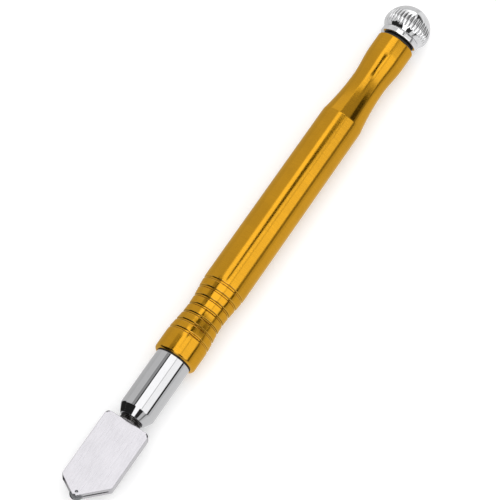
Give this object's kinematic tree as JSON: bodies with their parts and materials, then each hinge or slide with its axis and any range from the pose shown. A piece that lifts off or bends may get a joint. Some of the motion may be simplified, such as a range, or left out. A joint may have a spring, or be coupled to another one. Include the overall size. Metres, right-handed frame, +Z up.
{
  "type": "glass cutter",
  "caption": "Oil-feed glass cutter: broad V head with a hard wheel, screwed into a sprung holder in a metal barrel with an oil reservoir and a screw cap.",
  "frame": {"origin": "on the surface that the tool lies on, under the middle of its box", "axes": "+X along the handle from the cutting wheel to the filler cap, +Z up and square to the broad faces of the head"},
  "size_m": [0.1752, 0.014, 0.0137],
  "materials": {
    "gold_anodised": "bright gold anodised, finely turned",
    "chrome": "polished chromium plate",
    "satin_chrome": "satin plated die casting",
    "blacked_steel": "blacked, oiled thread",
    "brass": "turned brass",
    "steel": "bright steel",
    "carbide": "ground tungsten carbide",
    "rubber": "oil-proof black rubber",
    "fibre": "red vulcanised fibre",
    "cotton": "twisted cotton"
  },
  "bodies": {
    "handle": {"handle_barrel": "gold_anodised", "nose_collar": "chrome", "collar_o_ring": "rubber", "key_pin": "steel", "valve_seat": "brass", "seat_gasket": "fibre", "spring_washer": "steel", "valve_spring": "steel"},
    "holder": {"head_holder": "brass", "holder_o_ring": "rubber", "valve_stem": "steel", "valve_seal": "rubber"},
    "wick": {"oil_wick": "cotton"},
    "head": {"head_plate": "satin_chrome", "head_shank": "blacked_steel", "wheel_axle": "steel"},
    "wheel": {"cutting_wheel": "carbide"},
    "cap_ring": {"cap_o_ring": "rubber"},
    "cap": {"cap_plug": "chrome", "cap_knob": "chrome"}
  },
  "joints": [
    {"name": "head_press", "type": "slide", "parent": "handle", "child": "holder", "axis": [1, 0, 0], "range_m": [0, 0.0006], "stiffness_N_per_m": 1500, "springref_m": -0.002, "deforming": ["valve_spring"]},
    {"name": "head_lead", "type": "slide", "parent": "holder", "child": "wick", "axis": [-1, 0, 0], "range_m": [0, 0.005]},
    {"name": "head_unscrew", "type": "hinge", "parent": "wick", "child": "head", "pos_m": [-0.0536, 0, 0.00687], "axis": [-1, 0, 0], "range_deg": [0, 3600]},
    {"name": "wheel_spin", "type": "hinge", "parent": "head", "child": "wheel", "pos_m": [-0.0856, 0.0007, 0.00687], "axis": [0, 0, 1], "continuous": true},
    {"name": "cap_lead", "type": "slide", "parent": "handle", "child": "cap_ring", "axis": [1, 0, 0], "range_m": [0, 0.007]},
    {"name": "cap_unscrew", "type": "hinge", "parent": "cap_ring", "child": "cap", "pos_m": [0.0774, 0, 0.00687], "axis": [1, 0, 0], "range_deg": [0, 2520]}
  ],
  "couplings": [
    {"joint": "head_unscrew", "follows": "head_lead", "rad_per_m": 12566},
    {"joint": "cap_unscrew", "follows": "cap_lead", "rad_per_m": 6283.2}
  ]
}
